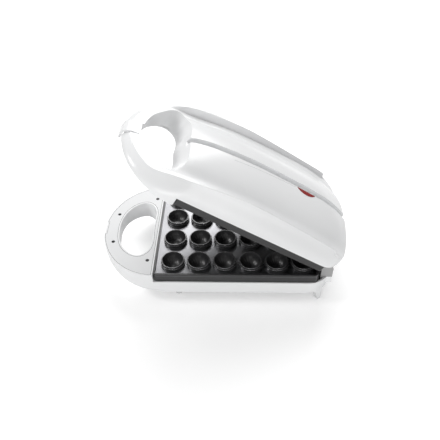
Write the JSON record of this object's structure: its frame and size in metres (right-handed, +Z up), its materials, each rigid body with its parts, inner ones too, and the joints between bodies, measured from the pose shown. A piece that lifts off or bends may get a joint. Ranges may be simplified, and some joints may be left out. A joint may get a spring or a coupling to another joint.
{
  "type": "nut cookie maker",
  "caption": "Electric nut cookie maker: a hinged lid with half-round domes closes on a base with half-round cups, with looped handles and a tip latch.",
  "frame": {"origin": "middle of the footprint of the rest pose, on the surface it stands on", "axes": "+X from the handle towards the hinge, +Y across, +Z up"},
  "size_m": [0.3676, 0.196, 0.2476],
  "materials": {
    "white_plastic": "gloss",
    "nonstick_cast": "black non-stick coating",
    "heater_steel": "annealed",
    "sheet_aluminium": "mill",
    "zinc_steel": "zinc plated",
    "dark_phenolic": "moulded",
    "brass_part": "plain",
    "natural_plastic": "moulded",
    "black_rubber": "matte",
    "red_lens": "clear red gloss",
    "lamp_glass": "clear"
  },
  "bodies": {
    "base": {"base_shell": "white_plastic", "base_handle_cover": "white_plastic", "cover_screws": "zinc_steel", "lower_mould_plate": "nonstick_cast", "lower_heating_element": "heater_steel", "lower_heat_shield": "sheet_aluminium", "lower_plate_screws": "zinc_steel", "thermostat": "dark_phenolic", "thermal_fuse": "brass_part", "terminal_block": "natural_plastic", "cord_gland": "black_rubber", "front_feet": "black_rubber", "hinge_pins": "zinc_steel"},
    "lid": {"indicator_lamp": "lamp_glass", "indicator_lens": "red_lens", "lamp_holder": "natural_plastic", "latch_pin": "zinc_steel", "lid_cover_screws": "zinc_steel", "lid_handle_cover": "white_plastic", "lid_shell": "white_plastic", "upper_heat_shield": "sheet_aluminium", "upper_heating_element": "heater_steel", "upper_mould_plate": "nonstick_cast", "upper_plate_screws": "zinc_steel"},
    "latch": {"latch": "white_plastic"}
  },
  "joints": [
    {"name": "lid_hinge", "type": "hinge", "parent": "base", "child": "lid", "pos_m": [0.1529, 0, 0.057], "axis": [0, 1, 0], "range_deg": [-32.7, 62.3]},
    {"name": "latch_pivot", "type": "hinge", "parent": "lid", "child": "latch", "pos_m": [-0.11323, 0, 0.24033], "axis": [0, 1, 0], "range_deg": [-4, 4]}
  ]
}
